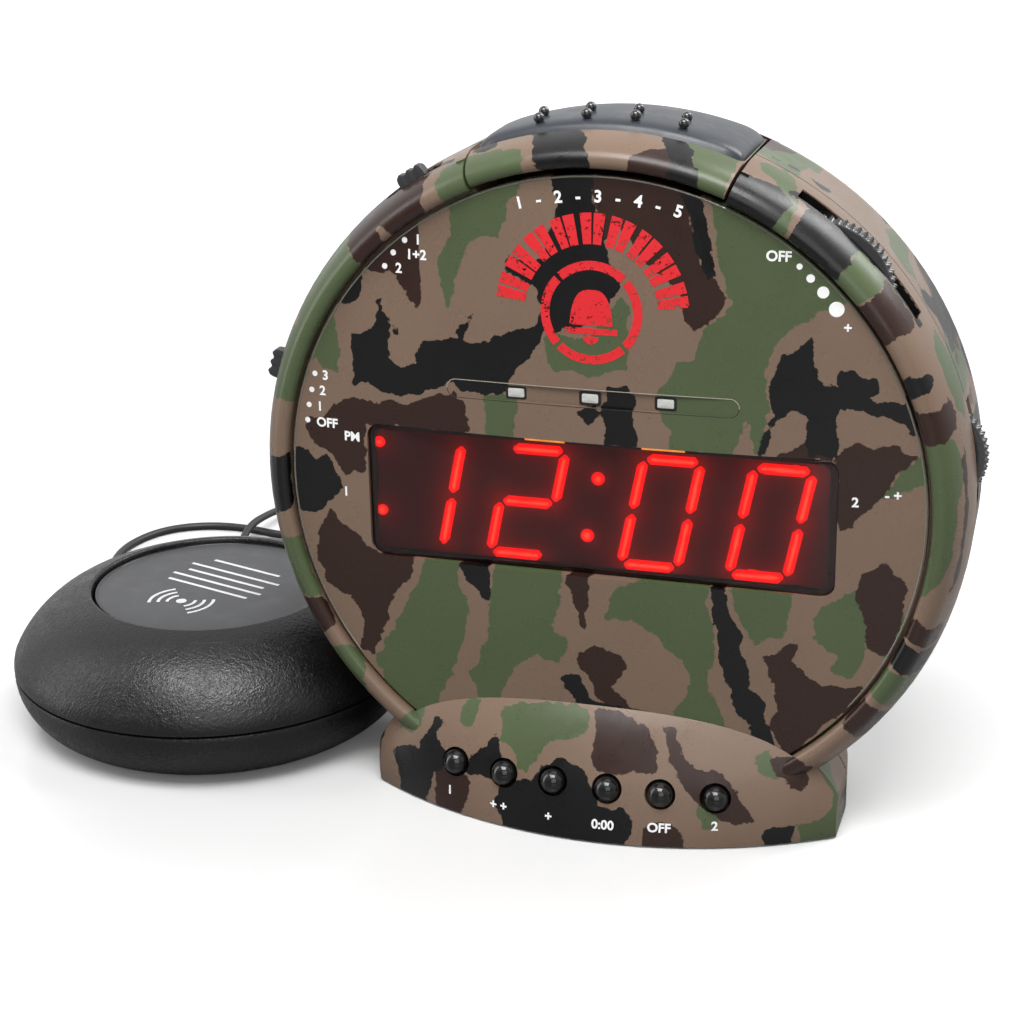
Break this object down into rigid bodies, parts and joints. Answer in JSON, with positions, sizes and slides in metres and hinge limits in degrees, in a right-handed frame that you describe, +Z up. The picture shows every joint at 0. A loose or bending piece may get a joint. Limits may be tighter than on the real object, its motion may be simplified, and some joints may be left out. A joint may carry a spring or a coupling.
{
  "type": "bed shaker alarm clock",
  "caption": "Round digital alarm clock with a camouflage shell on a moulded base, with a bed shaker puck on a cord that plugs into its back.",
  "frame": {"origin": "on the surface that the clock stands on, under the middle of the clock's base", "axes": "+Z up, the clock's face towards -Y, the shaker on the -X side and the cord behind on the +Y side"},
  "size_m": [0.2567, 0.1891, 0.1573],
  "materials": {
    "camouflage_shell": "satin camouflage print on tan plastic",
    "smoked_window": "clear, dark red",
    "dark_plastic": "matt black",
    "led_red": "lit red",
    "lamp_white": "clear white",
    "board_green": "solder mask",
    "pad_black": "fine satin",
    "key_black": "polished",
    "wheel_grey": "satin",
    "steel": "bright",
    "speaker_paper": "matt",
    "magnet_grey": "dull",
    "battery_jacket": "printed sleeve",
    "spring_metal": "plated",
    "foot_rubber": "matt",
    "shaker_black": "fine leather grain",
    "label_grey": "matt printed film",
    "motor_can": "plated",
    "weight_metal": "sintered",
    "cord_black": "satin"
  },
  "bodies": {
    "clock_body": {"front_panel": "camouflage_shell", "front_case": "camouflage_shell", "rear_case": "camouflage_shell", "base_plate": "dark_plastic", "display_window": "smoked_window", "display_housing": "dark_plastic", "led_module": "dark_plastic", "led_segments": "led_red", "lamp_lenses": "lamp_white", "lamp_board": "board_green", "snooze_switch": "dark_plastic", "key_board": "board_green", "key_switches": "dark_plastic", "volume_pot": "steel", "tone_pot": "steel", "alarm_select_body": "dark_plastic", "mode_body": "dark_plastic", "main_board": "board_green", "board_screws": "steel", "case_screws": "steel", "base_screws": "steel", "speaker_frame": "magnet_grey", "speaker_cone": "speaker_paper", "speaker_magnet": "magnet_grey", "battery": "battery_jacket", "battery_tray": "dark_plastic", "battery_contacts": "spring_metal", "door_pin": "steel", "power_jack": "dark_plastic", "shaker_jack": "dark_plastic", "rubber_feet": "foot_rubber", "shaker_upper_shell": "shaker_black", "shaker_lower_shell": "shaker_black", "shaker_label": "label_grey", "shaker_screws": "steel", "shaker_motor": "motor_can", "motor_clamp": "dark_plastic", "cord_grommet": "cord_black", "cord_plug": "cord_black", "cord_to_coil": "cord_black", "cord_coil": "cord_black", "cord_to_plug": "cord_black", "coil_tie": "dark_plastic"},
    "snooze": {"snooze_bar": "camouflage_shell", "snooze_pad": "pad_black"},
    "alarm_select": {"alarm_select_knob": "wheel_grey"},
    "mode_select": {"mode_knob": "wheel_grey"},
    "volume": {"volume_wheel": "wheel_grey"},
    "tone": {"tone_wheel": "wheel_grey"},
    "door": {"battery_door": "camouflage_shell"},
    "shaker_weight": {"eccentric_weight": "weight_metal", "motor_shaft": "steel"},
    "key_1": {"key_1": "key_black"},
    "key_2": {"key_2": "key_black"},
    "key_3": {"key_3": "key_black"},
    "key_4": {"key_4": "key_black"},
    "key_5": {"key_5": "key_black"},
    "key_6": {"key_6": "key_black"}
  },
  "joints": [
    {"name": "snooze_press", "type": "slide", "parent": "clock_body", "child": "snooze", "axis": [0, 0, -1], "range_m": [0, 0.0009], "stiffness_N_per_m": 1500, "springref_m": -0.0008},
    {"name": "key_1_press", "type": "slide", "parent": "clock_body", "child": "key_1", "axis": [0, 0.9397, -0.342], "range_m": [0, 0.001], "stiffness_N_per_m": 900, "springref_m": -0.0009},
    {"name": "key_2_press", "type": "slide", "parent": "clock_body", "child": "key_2", "axis": [0, 0.9397, -0.342], "range_m": [0, 0.001], "stiffness_N_per_m": 900, "springref_m": -0.0009},
    {"name": "key_3_press", "type": "slide", "parent": "clock_body", "child": "key_3", "axis": [0, 0.9397, -0.342], "range_m": [0, 0.001], "stiffness_N_per_m": 900, "springref_m": -0.0009},
    {"name": "key_4_press", "type": "slide", "parent": "clock_body", "child": "key_4", "axis": [0, 0.9397, -0.342], "range_m": [0, 0.001], "stiffness_N_per_m": 900, "springref_m": -0.0009},
    {"name": "key_5_press", "type": "slide", "parent": "clock_body", "child": "key_5", "axis": [0, 0.9397, -0.342], "range_m": [0, 0.001], "stiffness_N_per_m": 900, "springref_m": -0.0009},
    {"name": "key_6_press", "type": "slide", "parent": "clock_body", "child": "key_6", "axis": [0, 0.9397, -0.342], "range_m": [0, 0.001], "stiffness_N_per_m": 900, "springref_m": -0.0009},
    {"name": "alarm_select_slide", "type": "slide", "parent": "clock_body", "child": "alarm_select", "axis": [-0.8434, 0, -0.5373], "range_m": [-0.0037, 0.0037]},
    {"name": "mode_select_slide", "type": "slide", "parent": "clock_body", "child": "mode_select", "axis": [-0.2924, 0, -0.9563], "range_m": [-0.0037, 0.0074]},
    {"name": "volume_turn", "type": "hinge", "parent": "clock_body", "child": "volume", "pos_m": [0.04418, -0.0142, 0.12145], "axis": [0, 1, 0], "range_deg": [-135, 135]},
    {"name": "tone_turn", "type": "hinge", "parent": "clock_body", "child": "tone", "pos_m": [0.06725, -0.004, 0.08575], "axis": [0, 1, 0], "range_deg": [-135, 135]},
    {"name": "battery_door_swing", "type": "hinge", "parent": "clock_body", "child": "door", "pos_m": [0, 0.0274, 0.0361], "axis": [-1, 0, 0], "range_deg": [0, 90]},
    {"name": "shaker_weight_spin", "type": "hinge", "parent": "clock_body", "child": "shaker_weight", "pos_m": [-0.09, 0.009, 0.0156], "axis": [1, 0, 0], "continuous": true}
  ]
}
